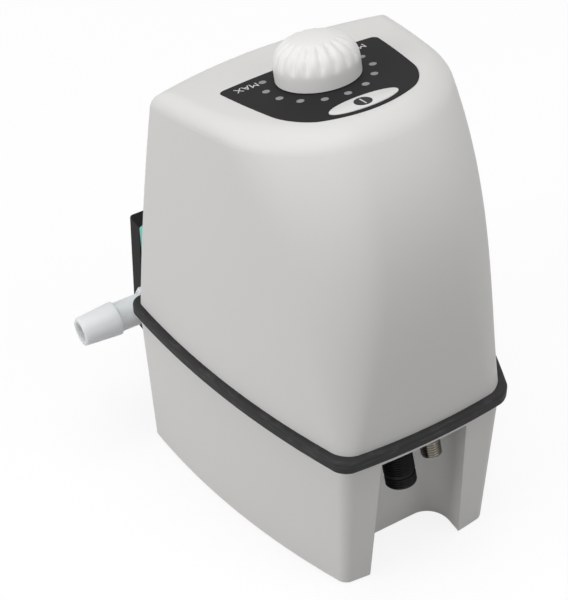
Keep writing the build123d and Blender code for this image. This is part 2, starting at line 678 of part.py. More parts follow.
def middle_plate():
    plate = neck_body(-NECK_GAP, HEAD_PLATE_BACK, MIDDLE_PLATE_BACK)
    centre = (0, HEAD_AXIS_Z)
    plate -= along_y(centre, CHAMBER_RADIUS, MIDDLE_PLATE_BACK - CHAMBER_DEPTH, MIDDLE_PLATE_BACK + PAST)
    for place in valve_centres():
        plate -= along_y(place, PORT_RADIUS, HEAD_PLATE_BACK - PAST, MIDDLE_PLATE_BACK)
    for hole in head_holes(SCREW_HOLE, HEAD_PLATE_BACK - PAST, MIDDLE_PLATE_BACK + PAST):
        plate -= hole
    return plate


def valve(place):
    # A slit round the port leaves a flap that hangs from the upper half of the disc.
    front, back = HEAD_PLATE_BACK - VALVE_THICKNESS, HEAD_PLATE_BACK
    flap = PORT_RADIUS + VALVE_SLIT / 2
    disc = along_y(place, VALVE_RADIUS - RUNNING_FIT, front, back)
    slit = along_y(place, flap + VALVE_SLIT, front - PAST, back + PAST)
    slit -= along_y(place, flap, front - PAST, back + PAST)
    hinge = block(place[0] - VALVE_RADIUS, place[0] + VALVE_RADIUS, front - PAST, back + PAST,
                  place[1], place[1] + VALVE_RADIUS)
    return disc - (slit - hinge)


def diaphragm():
    centre = (0, HEAD_AXIS_Z)
    disc = along_y(centre, DIAPHRAGM_RADIUS, MIDDLE_PLATE_BACK, CRANKCASE_FRONT)
    groove = along_y(centre, CHAMBER_RADIUS - DIAPHRAGM_RIM, CRANKCASE_FRONT - PAST, CRANKCASE_FRONT + PAST)
    clear = ROD_END_RADIUS + THROW + KEY_GAP
    groove -= along_y(centre, clear + CUP_WALL, CRANKCASE_FRONT - 2 * PAST, CRANKCASE_FRONT + 2 * PAST)
    cup = along_y(centre, clear + CUP_WALL, CRANKCASE_FRONT - PAST, CRANKCASE_FRONT + CUP_REACH)
    cup -= along_y(centre, clear, CRANKCASE_FRONT, CRANKCASE_FRONT + 2 * CUP_REACH)
    return disc - groove + cup


def crankcase():
    low, high = CASE_LOW, CASE_HIGH
    body = block(-CRANKCASE_HALF_WIDTH, CRANKCASE_HALF_WIDTH, CRANKCASE_FRONT, CRANKCASE_REAR, low, high)
    body = fillet(body.edges().filter_by(Axis.Z).sort_by(Axis.Y)[-2:], CRANKCASE_ROUND)
    flange = neck_body(-NECK_GAP, CRANKCASE_FRONT, CRANKCASE_FRONT + CRANKCASE_FLANGE)
    seat = neck_body(-NECK_GAP, MIDDLE_PLATE_BACK, CRANKCASE_FRONT)
    seat -= along_y((0, HEAD_AXIS_Z), DIAPHRAGM_RADIUS, MIDDLE_PLATE_BACK - PAST, CRANKCASE_FRONT + PAST)
    body += flange + seat
    centre = (0, SHAFT_Y)
    body -= post(centre, CRANK_BORE, low + CRANKCASE_FLOOR, high - CRANKCASE_FLOOR)
    body -= along_y((0, HEAD_AXIS_Z), CHAMBER_RADIUS - PAST, CRANKCASE_FRONT - PAST, SHAFT_Y)
    body -= post(centre, SHAFT_RADIUS + SHAFT_GAP, low + CRANKCASE_FLOOR - PAST, high + PAST)
    body -= post(centre, BEARING_RADIUS, high - CRANKCASE_FLOOR - PAST, high + PAST)
    body -= post(centre, BEARING_RADIUS, low + BEARING_FLOOR, low + CRANKCASE_FLOOR + PAST)
    holes_end = HEAD_FRONT + HEAD_SCREW_LENGTH + CRANKCASE_FLANGE
    for hole in head_holes(SCREW_HOLE, MIDDLE_PLATE_BACK - PAST, holes_end):
        body -= hole
    for place in motor_screw_places():
        body -= post(place, SMALL_SCREW, high - MOTOR_SCREW_LENGTH - PAST, high + PAST)
    return body


def head_screw_set():
    screws = []
    for place in HEAD_SCREWS:
        top = HEAD_FRONT + HEAD_SCREW_SINK
        shank = along_y(place, SCREW_RADIUS, top, top + HEAD_SCREW_LENGTH)
        head = along_y(place, SCREW_HEAD_RADIUS, top, top + SCREW_HEAD_HEIGHT)
        plane = Plane(origin=(place[0], top, place[1]), x_dir=(1, 0, 0), z_dir=(0, 1, 0))
        socket = plane * extrude(RegularPolygon(SOCKET_SIZE, 6), SOCKET_DEPTH)
        screws.append(shank + head - socket)
    return screws


# Hose nozzles
def nozzle(side):
    collar_end = HEAD_HALF_WIDTH + COLLAR_LENGTH
    barb_start = NOZZLE_TIP - BARB_LENGTH
    with BuildSketch(Plane.XZ) as profile:
        with BuildLine():
            Polyline((NOZZLE_BORE, NOZZLE_TIP), (TIP_RADIUS - TIP_CHAMFER, NOZZLE_TIP),
                     (TIP_RADIUS, NOZZLE_TIP - TIP_CHAMFER), (BARB_RADIUS, barb_start + BARB_LAND),
                     (BARB_RADIUS, barb_start), (TUBE_RADIUS, barb_start - 2 * TIP_CHAMFER),
                     (TUBE_RADIUS, collar_end), (THREAD_RADIUS - RUNNING_FIT, collar_end),
                     (THREAD_RADIUS - RUNNING_FIT, HEAD_HALF_WIDTH - THREAD_LENGTH),
                     (PORT_RADIUS, HEAD_HALF_WIDTH - THREAD_LENGTH), (PORT_RADIUS, collar_end),
                     (NOZZLE_BORE, barb_start), close=True)
        make_face()
    body = revolve(profile.sketch, Axis.Z)
    start = HEAD_HALF_WIDTH + O_RING_SECTION / 2
    hexagon = level(start) * RegularPolygon(COLLAR_RADIUS, 6)
    collar = extrude(hexagon, collar_end - start) - post((0, 0), NOZZLE_BORE, 0, 2 * NOZZLE_TIP)
    body = body + collar
    return Pos(0, NOZZLE_Y, NOZZLE_Z) * Rot(0, 90 * side, 0) * Rot(0, 0, 30) * body


def nozzle_rings():
    rings = []
    for side in (-1, 1):
        outer = THREAD_RADIUS + O_RING_WIDTH
        ring = post((0, 0), outer, HEAD_HALF_WIDTH, HEAD_HALF_WIDTH + O_RING_SECTION / 2)
        ring -= post((0, 0), THREAD_RADIUS, HEAD_HALF_WIDTH - PAST, HEAD_HALF_WIDTH + 2 * PAST)
        rings.append(Pos(0, NOZZLE_Y, NOZZLE_Z) * Rot(0, 90 * side, 0) * ring)
    return rings


# Crank drive and motor
def motor_screw_places():
    spread = MOTOR_SCREW_CIRCLE * math.sqrt(0.5)
    return [(side * spread, SHAFT_Y + end * spread) for side in (-1, 1) for end in (-1, 1)]


def motor_shaft():
    return post((0, SHAFT_Y), SHAFT_RADIUS, SHAFT_LOW, SHAFT_HIGH)


def ball_bearing(place, low, outer, inner):
    ring = post(place, outer, low, low + BEARING_HEIGHT)
    ring -= post(place, inner, low - PAST, low + BEARING_HEIGHT + PAST)
    middle = (outer + inner) / 2
    for face in (low, low + BEARING_HEIGHT):
        groove = post(place, middle + BEARING_GROOVE_HALF, face - BEARING_GROOVE, face + BEARING_GROOVE)
        ring -= groove - post(place, middle - BEARING_GROOVE_HALF, face - PAST, face + PAST)
    return ring


def shaft_bearings():
    inner = SHAFT_RADIUS + RUNNING_FIT
    return [ball_bearing((0, SHAFT_Y), low, BEARING_RADIUS, inner)
            for low in (CASE_LOW + BEARING_FLOOR, CASE_HIGH - BEARING_HEIGHT,
                        MOTOR_HIGH - END_CAP - BEARING_HEIGHT)]


def eccentric():
    low = HEAD_AXIS_Z - ECCENTRIC_HEIGHT / 2
    disc = post(ECCENTRIC_PLACE, ECCENTRIC_RADIUS, low, low + ECCENTRIC_HEIGHT)
    collar = post(ECCENTRIC_PLACE, ECCENTRIC_RADIUS + ECCENTRIC_COLLAR, low, low + 2 * ECCENTRIC_COLLAR)
    return disc + collar - post((0, SHAFT_Y), SHAFT_RADIUS, low - PAST, low + ECCENTRIC_HEIGHT + PAST)


def rod_bearing():
    low = HEAD_AXIS_Z - BEARING_HEIGHT / 2
    return ball_bearing(ECCENTRIC_PLACE, low, ROD_BEARING_RADIUS, ECCENTRIC_RADIUS + RUNNING_FIT)


def connecting_rod():
    low, high = HEAD_AXIS_Z - BEARING_HEIGHT / 2, HEAD_AXIS_Z + BEARING_HEIGHT / 2
    x = ECCENTRIC_PLACE[0]
    start, end = ROD_END_FRONT + ROD_END_THICKNESS, SHAFT_Y - ROD_BEARING_RADIUS
    ring = post(ECCENTRIC_PLACE, ROD_BEARING_RADIUS + ROD_RING, low, high)
    shank = block(x - ROD_SHANK / 2, x + ROD_SHANK / 2, start - PAST, end, low, high)
    for bottom, top in ((low - PAST, low + ROD_RELIEF), (high - ROD_RELIEF, high + PAST)):
        shank -= block(x - ROD_SHANK / 5, x + ROD_SHANK / 5,
                       start + ROD_RING, end - ROD_RING - 2 * ROD_RELIEF, bottom, top)
    foot = along_y((x, HEAD_AXIS_Z), ROD_END_RADIUS, ROD_END_FRONT, start)
    return ring + shank + foot - post(ECCENTRIC_PLACE, ROD_BEARING_RADIUS, low - PAST, high + PAST)


def motor_can():
    centre = (0, SHAFT_Y)
    can = post(centre, MOTOR_RADIUS, MOTOR_LOW, MOTOR_HIGH)
    can -= post(centre, MOTOR_RADIUS - MOTOR_SHELL, MOTOR_LOW - PAST, MOTOR_HIGH - END_CAP)
    seat_low = MOTOR_HIGH - END_CAP - BEARING_HEIGHT
    can += post(centre, BEARING_RADIUS + MOTOR_SHELL, seat_low, MOTOR_HIGH - CAN_SEAT_END)
    can -= post(centre, BEARING_RADIUS, seat_low - PAST, MOTOR_HIGH - END_CAP)
    can -= post(centre, SHAFT_RADIUS + SHAFT_GAP, MOTOR_LOW, MOTOR_HIGH - CAN_SEAT_END)
    return can


def motor_flange():
    flange = post((0, SHAFT_Y), MOTOR_RADIUS, CASE_HIGH, MOTOR_LOW)
    flange -= post((0, SHAFT_Y), SHAFT_RADIUS + SHAFT_GAP, CASE_HIGH - PAST, MOTOR_LOW + PAST)
    for place in motor_screw_places():
        flange -= post(place, SCREW_PASS, CASE_HIGH - PAST, MOTOR_LOW + PAST)
        flange -= post(place, SMALL_HEAD + KEY_GAP, MOTOR_LOW - SMALL_HEAD_HEIGHT, MOTOR_LOW + PAST)
    return flange


def motor_screws():
    head_low = MOTOR_LOW - SMALL_HEAD_HEIGHT
    return [post(place, SMALL_SCREW, CASE_HIGH - MOTOR_SCREW_LENGTH, head_low)
            + post(place, SMALL_HEAD, head_low, MOTOR_LOW) for place in motor_screw_places()]


def motor_magnets():
    centre = (0, SHAFT_Y)
    outer = MOTOR_RADIUS - MOTOR_SHELL
    low, high = MOTOR_LOW + MOTOR_GAP, MOTOR_HIGH - WINDING_HEADROOM
    ring = post(centre, outer, low, high) - post(centre, outer - MAGNET_THICKNESS, low - PAST, high + PAST)
    gap = block(-MOTOR_GAP / 2, MOTOR_GAP / 2, SHAFT_Y - outer - PAST, SHAFT_Y + outer + PAST,
                low - PAST, high + PAST)
    return ring - gap


def rotor_core():
    radius = MOTOR_RADIUS - MOTOR_SHELL - MAGNET_THICKNESS - AIR_GAP
    low, high = MOTOR_LOW + MOTOR_GAP + 2 * PAST, MOTOR_HIGH - WINDING_HEADROOM - 2 * PAST
    core = post((0, SHAFT_Y), radius, low, high)
    slot = block(radius - ROTOR_SLOT_DEPTH, radius + PAST, -ROTOR_SLOT_WIDTH / 2, ROTOR_SLOT_WIDTH / 2,
                 low - PAST, high + PAST)
    for index in range(ROTOR_SLOTS):
        core -= Pos(0, SHAFT_Y) * Rot(0, 0, index * 360 / ROTOR_SLOTS) * slot
    return core - post((0, SHAFT_Y), SHAFT_RADIUS, low - PAST, high + PAST)


# Stand under the crankcase
def mounting_bracket():
    top = CASE_LOW
    foot = FLOOR + MOUNT_PAD + MOUNT_HEIGHT
    half, sheet = BRACKET_HALF_WIDTH, BRACKET_SHEET
    y_low, y_high = SHAFT_Y - BRACKET_HALF_DEPTH, SHAFT_Y + BRACKET_HALF_DEPTH
    bracket = block(-half, half, y_low, y_high, top - sheet, top)
    for side in (-1, 1):
        inside, outside = sorted((side * (half - sheet), side * half))
        bracket += block(inside, outside, y_low, y_high, foot, top)
        inside, outside = sorted((side * (half - sheet), side * (half + BRACKET_FOOT)))
        bracket += block(inside, outside, y_low, y_high, foot, foot + sheet)
    bracket -= block(-half - PAST, half + PAST, SHAFT_Y - BRACKET_WINDOW, SHAFT_Y + BRACKET_WINDOW,
                     foot + BRACKET_WINDOW_EDGE, top - BRACKET_WINDOW_EDGE)
    for place in mount_places():
        bracket -= post(place, SCREW_PASS, foot - PAST, foot + sheet + PAST)
    return bracket


def vibration_mounts():
    low = FLOOR + MOUNT_PAD
    return [post(place, MOUNT_RADIUS, low, low + MOUNT_HEIGHT)
            - post(place, SMALL_SCREW, low - PAST, low + MOUNT_HEIGHT + PAST) for place in mount_places()]


def bracket_screws():
    top = FLOOR + MOUNT_PAD + MOUNT_HEIGHT + BRACKET_SHEET
    low = FLOOR / 2 + KEY_GAP
    return [post(place, SMALL_SCREW, low, top) + post(place, SMALL_HEAD, top, top + SMALL_HEAD_HEIGHT)
            for place in mount_places()]


def driver_board():
    rear = RECESS_BACK - WALL - DRIVER_BOARD_STANDOFF
    board = block(-DRIVER_BOARD_HALF_WIDTH, DRIVER_BOARD_HALF_WIDTH, rear - BOARD_THICKNESS, rear,
                  DRIVER_BOARD_LOW, DRIVER_BOARD_HIGH)
    for place in board_posts():
        board -= along_y(place, SCREW_PASS, rear - 2 * BOARD_THICKNESS, rear + PAST)
    for step in (-1, 0, 1):
        place = (step * CAPACITOR_STEP, DRIVER_BOARD_HIGH - CAPACITOR_BELOW_EDGE)
        front = rear - BOARD_THICKNESS
        board += along_y(place, CAPACITOR_RADIUS, front - CAPACITOR_HEIGHT, front)
    return board


def driver_board_screws():
    rear = RECESS_BACK - WALL - DRIVER_BOARD_STANDOFF
    front = rear - BOARD_THICKNESS
    return [along_y(place, SMALL_SCREW, front, rear + 2 * SMALL_SCREW)
            + along_y(place, SMALL_HEAD, front - SMALL_HEAD_HEIGHT, front) for place in board_posts()]


# Connectors
def connector_shell(x, radius, reach, relieved):
    seat = post((0, 0), radius + CONNECTOR_SEAT, 0, CONNECTOR_SEAT)
    nose = post((0, 0), radius, -WALL - CONNECTOR_TAIL, reach)
    nose = chamfer(nose.edges().sort_by(Axis.Z)[-1], RELIEF_DEPTH)
    bore = post((0, 0), radius - CONNECTOR_SHELL, reach - CONNECTOR_DEPTH, reach + PAST)
    shell = seat + nose - bore
    if relieved:
        low = reach - RELIEF_PLACE
        groove = post((0, 0), radius + PAST, low, low + RELIEF_WIDTH)
        shell -= groove - post((0, 0), radius - RELIEF_DEPTH, 0, reach)
    return ROOF_PLANE * Pos(x, 0, 0) * shell


def connector_insert(x, radius, reach, contacts):
    outer = radius - CONNECTOR_SHELL - INSERT_GAP
    ring = outer - 2 * CONTACT_RADIUS
    core = post((0, 0), outer, reach - CONNECTOR_DEPTH, reach - INSERT_SINK)
    for index in range(contacts):
        angle = 2 * math.pi * (index + 0.5) / contacts
        place = (ring * math.cos(angle), ring * math.sin(angle))
        core -= post(place, CONTACT_RADIUS, reach - CONNECTOR_DEPTH / 2, reach)
    return ROOF_PLANE * Pos(x, 0, 0) * core


def connector_nut(x, radius):
    hexagon = level(-WALL - CONNECTOR_NUT) * RegularPolygon(radius + CONNECTOR_NUT_RIM, 6)
    nut = extrude(hexagon, CONNECTOR_NUT)
    nut -= post((0, 0), radius, -WALL - 2 * CONNECTOR_NUT, 0)
    return ROOF_PLANE * Pos(x, 0, 0) * nut


# Fasteners and feet
def housing_screws():
    screws = []
    for place in CORNERS:
        low = WELL_DEPTH - SCREW_HEAD_HEIGHT
        shank = post(place, SCREW_RADIUS, WELL_DEPTH - PAST, WELL_DEPTH + SCREW_LENGTH)
        head = post(place, SCREW_HEAD_RADIUS, low, WELL_DEPTH)
        socket = level(low) * Pos(*place) * extrude(RegularPolygon(SOCKET_SIZE, 6), SOCKET_DEPTH)
        screws.append(shank + head - socket)
    return screws


def rubber_feet():
    feet = []
    for place in FEET:
        foot = post(place, FOOT_RADIUS - 2 * RUNNING_FIT, -FOOT_PROUD, FOOT_SINK)
        feet.append(chamfer(foot.edges().sort_by(Axis.Z)[0], FOOT_PROUD / 2))
    return feet


def main():
    os.makedirs("parts", exist_ok=True)
    save("lower_housing", lower_housing())
    save("upper_housing", upper_housing())
    save("housing_seal", housing_seal())
    save("neck_gasket", neck_gasket())
    save("control_panel", control_panel())
    save("power_key", power_key())
    save("key_switch", key_switch())
    save("control_board", control_board())
    save("control_board_screws", *board_screws(ceiling_posts(), -BOARD_DEPTH - BOARD_THICKNESS, PANEL_PLANE))
    save("potentiometer_body", potentiometer_body())
    save("potentiometer_nut", potentiometer_nut())
    save("potentiometer_spindle", potentiometer_spindle())
    save("speed_knob", speed_knob())
    save("end_plate", end_plate())
    save("head_plate", head_plate())
    save("middle_plate", middle_plate())
    save("inlet_valve", valve(valve_centres()[0]))
    save("outlet_valve", valve(valve_centres()[1]))
    save("diaphragm", diaphragm())
    save("crankcase", crankcase())
    save("head_screws", *head_screw_set())
    save("inlet_nozzle", nozzle(-1))
    save("outlet_nozzle", nozzle(1))
    save("nozzle_rings", *nozzle_rings())
    save("motor_shaft", motor_shaft())
    save("shaft_bearings", *shaft_bearings())
    save("eccentric", eccentric())
    save("rod_bearing", rod_bearing())
    save("connecting_rod", connecting_rod())
    save("motor_can", motor_can())
    save("motor_flange", motor_flange())
    save("motor_screws", *motor_screws())
    save("motor_magnets", motor_magnets())
    save("rotor_core", rotor_core())
    save("mounting_bracket", mounting_bracket())
    save("vibration_mounts", *vibration_mounts())
    save("bracket_screws", *bracket_screws())
    save("driver_board", driver_board())
    save("driver_board_screws", *driver_board_screws())
    save("power_connector", connector_shell(POWER_X, POWER_RADIUS, POWER_REACH, True))
    save("power_insert", connector_insert(POWER_X, POWER_RADIUS, POWER_REACH, 4))
    save("power_nut", connector_nut(POWER_X, POWER_RADIUS))
    save("signal_connector", connector_shell(SIGNAL_X, SIGNAL_RADIUS, SIGNAL_REACH, False))
    save("signal_insert", connector_insert(SIGNAL_X, SIGNAL_RADIUS, SIGNAL_REACH, 3))
    save("signal_nut", connector_nut(SIGNAL_X, SIGNAL_RADIUS))
    save("housing_screws", *housing_screws())
    save("rubber_feet", *rubber_feet())


main()
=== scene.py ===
import math

import bmesh
import bpy
from mathutils import Matrix, Vector


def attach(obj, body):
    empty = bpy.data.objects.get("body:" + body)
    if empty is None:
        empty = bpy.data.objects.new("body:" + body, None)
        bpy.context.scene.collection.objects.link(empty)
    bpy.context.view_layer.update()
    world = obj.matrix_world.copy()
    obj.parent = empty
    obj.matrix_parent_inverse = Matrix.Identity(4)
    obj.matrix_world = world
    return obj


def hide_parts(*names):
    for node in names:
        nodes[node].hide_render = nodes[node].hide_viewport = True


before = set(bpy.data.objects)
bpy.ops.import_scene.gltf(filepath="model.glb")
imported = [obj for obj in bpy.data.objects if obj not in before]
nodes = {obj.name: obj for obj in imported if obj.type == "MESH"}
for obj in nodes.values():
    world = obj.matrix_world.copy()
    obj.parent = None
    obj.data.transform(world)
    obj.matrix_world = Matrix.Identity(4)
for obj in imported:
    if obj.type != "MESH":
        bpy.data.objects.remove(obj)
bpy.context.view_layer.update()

MM = 0.001
bpy.context.scene.view_settings.view_transform = "Standard"

# Camera
# The camera stands behind the pump, above it and on its outlet side, as the photograph was taken.
# Its place, roll and lens were solved from the photograph.
AIM = Vector((25.19, 9.725, 103.5)) * MM
AZIMUTH, ELEVATION, ROLL = math.radians(150.04), math.radians(43.54), math.radians(-1.1)
DISTANCE = 614.55 * MM
LENS, SENSOR = 101.66, 36.0
NEAREST, FARTHEST = 0.02, 20
back = Vector((math.sin(AZIMUTH) * math.cos(ELEVATION), -math.cos(AZIMUTH) * math.cos(ELEVATION),
               math.sin(ELEVATION)))
side = Vector((math.cos(AZIMUTH), math.sin(AZIMUTH), 0))
up = back.cross(side)
rolled_side = math.cos(ROLL) * side + math.sin(ROLL) * up
rolled_up = math.cos(ROLL) * up - math.sin(ROLL) * side
camera = bpy.data.objects.new("camera", bpy.data.cameras.new("camera"))
camera.data.lens = LENS
camera.data.sensor_width = SENSOR
camera.data.clip_start, camera.data.clip_end = NEAREST, FARTHEST
camera.matrix_world = Matrix.Translation(AIM + DISTANCE * back) @ Matrix(
    (rolled_side, rolled_up, back)).transposed().to_4x4()
bpy.context.scene.collection.objects.link(camera)
bpy.context.scene.camera = camera


# Studio
# The pump stands on a pale table in a white room. One broad lamp hangs straight over it, one stands low
# on the outlet side and two weak ones stand behind, so the top is the brightest face and the rear the
# darkest. From below, the table is clear.
EDGE_SAMPLES = 6


class Socket:
    """One output of a node. Sums and products of it add Math nodes, and make adds any other node."""

    def __init__(self, tree, output):
        self.tree, self.output = tree, output

    def make(self, kind, settings, sockets, output=0):
        """A node of this kind, its settings first, then the values or links of its sockets."""
        made = self.tree.nodes.new("ShaderNode" + kind)
        for name, value in settings.items():
            if name == "stops":
                for stop, (place, shade) in zip(made.color_ramp.elements, value):
                    stop.position, stop.color = place, (shade, shade, shade, 1)
            else:
                setattr(made, name, value)
        for name, value in sockets.items():
            if isinstance(value, Socket):
                self.tree.links.new(value.output, made.inputs[name])
            else:
                made.inputs[name].default_value = value
        return Socket(self.tree, made.outputs[output])

    def maths(self, operation, first, second):
        return self.make("Math", {"operation": operation}, {0: first, 1: second})

    def __add__(self, other):
        return self.maths("ADD", self, other)

    def __rsub__(self, other):
        return self.maths("SUBTRACT", other, self)

    def __mul__(self, other):
        return self.maths("MULTIPLY", self, other)

    __radd__ = __add__
    __rmul__ = __mul__

    def tint(self, low, high):
        """The colour between low and high at this share. Either may be a socket."""
        ends = [end if isinstance(end, Socket) else (*end, 1) for end in (low, high)]
        return self.make("Mix", {"data_type": "RGBA"}, {0: self, 6: ends[0], 7: ends[1]}, 2)

    def noise(self, scale, detail=3.0, distortion=0.0):
        """Cloudy noise over these coordinates, in metres."""
        return self.make("TexNoise", {}, {"Vector": self, "Scale": scale, "Detail": detail,
                                          "Distortion": distortion})

    def bump(self, depth, edge=0.0):
        """A normal raised by depth, over edges that are rounded by edge, both in millimetres."""
        sockets = {"Height": self, "Strength": 1.0, "Distance": depth * MM}
        if edge:
            sockets["Normal"] = self.make("Bevel", {"samples": EDGE_SAMPLES}, {"Radius": edge * MM})
        return self.make("Bump", {}, sockets)


def material_of(name, fixed):
    """A new material, its main shader with these sockets set, and the piece's coordinates in metres."""
    material = bpy.data.materials.new(name)
    material.use_nodes = True
    shader = material.node_tree.nodes["Principled BSDF"]
    for socket, value in fixed.items():
        shader.inputs[socket].default_value = value
    coordinates = material.node_tree.nodes.new("ShaderNodeTexCoord")
    return material, shader, Socket(material.node_tree, coordinates.outputs["Object"])


def feed(shader, **sockets):
    """Link each value to the shader's socket of that name, written with _ for a space."""
    for name, value in sockets.items():
        value.tree.links.new(value.output, shader.inputs[name.replace("_", " ")])


def seen_rays(tree):
    """One where the camera, a reflection or a clear piece looks, and zero for the light that bounces."""
    rays = [Socket(tree, None).make("LightPath", {}, {}, "Is %s Ray" % kind)
            for kind in ("Camera", "Glossy", "Transmission")]
    return rays[0].maths("MAXIMUM", rays[0].maths("MAXIMUM", rays[0], rays[1]), rays[2])


FLOOR_BOUNCE, FLOOR_DULL, FLOOR_PALE = (0.34, 0.34, 0.34), (0.94, 0.94, 0.94), (0.97, 0.97, 0.97)
FLOOR_GLOW, FLOOR_ROUGHNESS, FLOOR_CLOUDS = 0.85, 0.7, 9.0
TABLE_RADIUS, TABLE_SIDES = 4, 96
WHITE = (1, 1, 1, 1)
table_finish, table_shader, table_place = material_of("table_white", {"Roughness": FLOOR_ROUGHNESS})
table_tree = table_finish.node_tree
seen = seen_rays(table_tree)
pale = table_place.noise(FLOOR_CLOUDS).tint(FLOOR_DULL, FLOOR_PALE)
feed(table_shader, Base_Color=seen.tint(FLOOR_BOUNCE, pale))
lit = Socket(table_tree, table_shader.outputs[0])
white = table_place.make("Emission", {}, {"Color": WHITE, "Strength": 1.0})
paler = seen.make("MixShader", {}, {0: seen * FLOOR_GLOW, 1: lit, 2: white})
underneath = seen.make("NewGeometry", {}, {}, "Backfacing")
clear = seen.make("BsdfTransparent", {}, {"Color": WHITE})
one_sided = seen.make("MixShader", {}, {0: underneath, 1: paler, 2: clear})
table_tree.links.new(one_sided.output, table_tree.nodes["Material Output"].inputs["Surface"])
bpy.ops.mesh.primitive_circle_add(vertices=TABLE_SIDES, radius=TABLE_RADIUS, fill_type="NGON",
                                  location=(0, 0, 0))
table = bpy.context.object
table.name = "table"
table.data.materials.append(table_finish)

ROOM_LIGHT = 0.2
world = bpy.data.worlds.new("room")
world.use_nodes = True
bpy.context.scene.world = world
room = world.node_tree.nodes["Background"]
room.inputs["Color"].default_value = WHITE
room_strength = seen_rays(world.node_tree) * (1 - ROOM_LIGHT) + ROOM_LIGHT
world.node_tree.links.new(room_strength.output, room.inputs["Strength"])

LAMP_WIDTH, LAMP_DISTANCE = 1.0, 1.6


def lamp(name, direction, share):
    """A square soft lamp that lights a face turned to it by this share of full white."""
    data = bpy.data.lights.new(name, "AREA")
    data.shape = "SQUARE"
    data.size = LAMP_WIDTH
    data.energy = share * 4 * math.pi * LAMP_DISTANCE ** 2
    made = bpy.data.objects.new(name, data)
    towards = Vector(direction).normalized()
    made.location = AIM + LAMP_DISTANCE * towards
    made.rotation_mode = "QUATERNION"
    made.rotation_quaternion = (-towards).to_track_quat("-Z", "Y")
    bpy.context.scene.collection.objects.link(made)


lamp("top_lamp", direction=(0.0, 0.0, 1.0), share=0.51)
lamp("side_lamp", direction=(0.9, -0.1, 0.35), share=0.41)
lamp("rear_lamp", direction=(-0.5, 0.6, 0.6), share=0.16)
lamp("fill_lamp", direction=(0.5, 0.8, 0.2), share=0.045)

# Moulded housings
# The base and the hood are injection moulded in light warm grey plastic. Their tools are spark eroded,
# which leaves an even, very fine satin grain, and their outer edges are lightly rounded.
PLASTIC_IOR, EDGE_ROUND = 1.5, 0.35
CLOUD_SCALE, CLOUD_DETAIL, CLOUD_SHARE = 28.0, 4.0, 0.7
CLOUD_GLOSS, GRAIN_GLOSS = 0.1, 0.08
DULLER, PALER = 0.975, 1.02


def shaded(colour, share):
    return tuple(share * part for part in colour)


def moulded(name, colour, grain, depth, roughness, specular, edge=EDGE_ROUND):
    """Plastic with a moulded grain, faint flow clouds and uneven gloss. Sizes are in millimetres."""
    material, shader, place = material_of(name, {"IOR": PLASTIC_IOR, "Specular IOR Level": specular})
    fine = place.noise(1 / (grain * MM))
    clouds = place.noise(CLOUD_SCALE, CLOUD_DETAIL)
    uneven = clouds * CLOUD_SHARE + fine * (1 - CLOUD_SHARE)
    middle = (CLOUD_GLOSS + GRAIN_GLOSS) / 2
    feed(shader, Base_Color=uneven.tint(shaded(colour, DULLER), shaded(colour, PALER)),
         Roughness=clouds * CLOUD_GLOSS + fine * GRAIN_GLOSS + (roughness - middle),
         Normal=fine.bump(depth, edge))
    return material


def coat(material, *names):
    """Give the named solids this material alone."""
    for name in names:
        nodes[name].data.materials.clear()
        nodes[name].data.materials.append(material)


housing_plastic = moulded("housing_plastic", colour=(0.65, 0.645, 0.632), grain=0.35, depth=0.006,
                          roughness=0.55, specular=0.35)
coat(housing_plastic, "lower_housing", "upper_housing")

# Housing seal and neck gasket
# One black rubber ring is clamped between the housings and stands proud of both. The gasket
# round the neck of the pump head is cut from the same rubber.
RUBBER_GRAIN, RUBBER_DEPTH, RUBBER_ROUGHNESS, RUBBER_SPECULAR = 1900.0, 0.012, 0.62, 0.2
RUB_SCALE, RUB_DETAIL, RUB_SQUEEZE, RUB_GLOSS = 160.0, 5.0, (1.0, 1.0, 5.0), 0.16
BLOOM_STOPS, BLOOM_COVER, BLOOM_PALER = ((0.5, 0.0), (0.78, 1.0)), 0.55, 2.6


def rubber(name, colour):
    """Moulded rubber with a dusty bloom and short, level rub marks."""
    material, shader, place = material_of(name, {"IOR": PLASTIC_IOR, "Specular IOR Level": RUBBER_SPECULAR})
    fine = place.noise(RUBBER_GRAIN)
    rubs = place.make("Mapping", {}, {"Vector": place, "Scale": RUB_SQUEEZE}).noise(RUB_SCALE, RUB_DETAIL)
    bloom = rubs.make("ValToRGB", {"stops": BLOOM_STOPS}, {"Fac": rubs})
    feed(shader, Base_Color=(bloom * BLOOM_COVER).tint(colour, shaded(colour, BLOOM_PALER)),
         Roughness=RUBBER_ROUGHNESS - bloom * RUB_GLOSS + fine * GRAIN_GLOSS,
         Normal=fine.bump(RUBBER_DEPTH))
    return material


coat(rubber("seal_rubber", colour=(0.024, 0.024, 0.025)), "housing_seal", "neck_gasket")

# Control panel
# A dark printed film is glued into a shallow bed in the hood's sloping top. The dots and the words
# of the speed scale are printed on it in pale ink, to be read from the front.
DIAL_TILT = math.radians(14.25)
DIAL_CENTRE = Vector((0, -7.375, 183.0)) * MM
dial_plane = Matrix.Translation(DIAL_CENTRE) @ Matrix.Rotation(DIAL_TILT, 4, "X")
FILM_TOP, FILM_SPECULAR, FILM_DEPTH, FILM_ROUGHNESS = 0.1 * MM, 0.05, 0.003, 0.5
FILM_DARK, FILM_PALE = (0.017, 0.017, 0.018), (0.023, 0.023, 0.024)
WEAVE_SCALE, WEAVE_DETAIL = 5200.0, 2.0
WIPE_SCALE, WIPE_DETAIL, WIPE_SWIRL, WIPE_GLOSS = 60.0, 5.0, 0.6, 0.16
film, film_shader, film_place = material_of("panel_film", {
    "IOR": PLASTIC_IOR, "Specular IOR Level": FILM_SPECULAR})
weave = film_place.noise(WEAVE_SCALE, WEAVE_DETAIL)
wipes = film_place.noise(WIPE_SCALE, WIPE_DETAIL, WIPE_SWIRL)
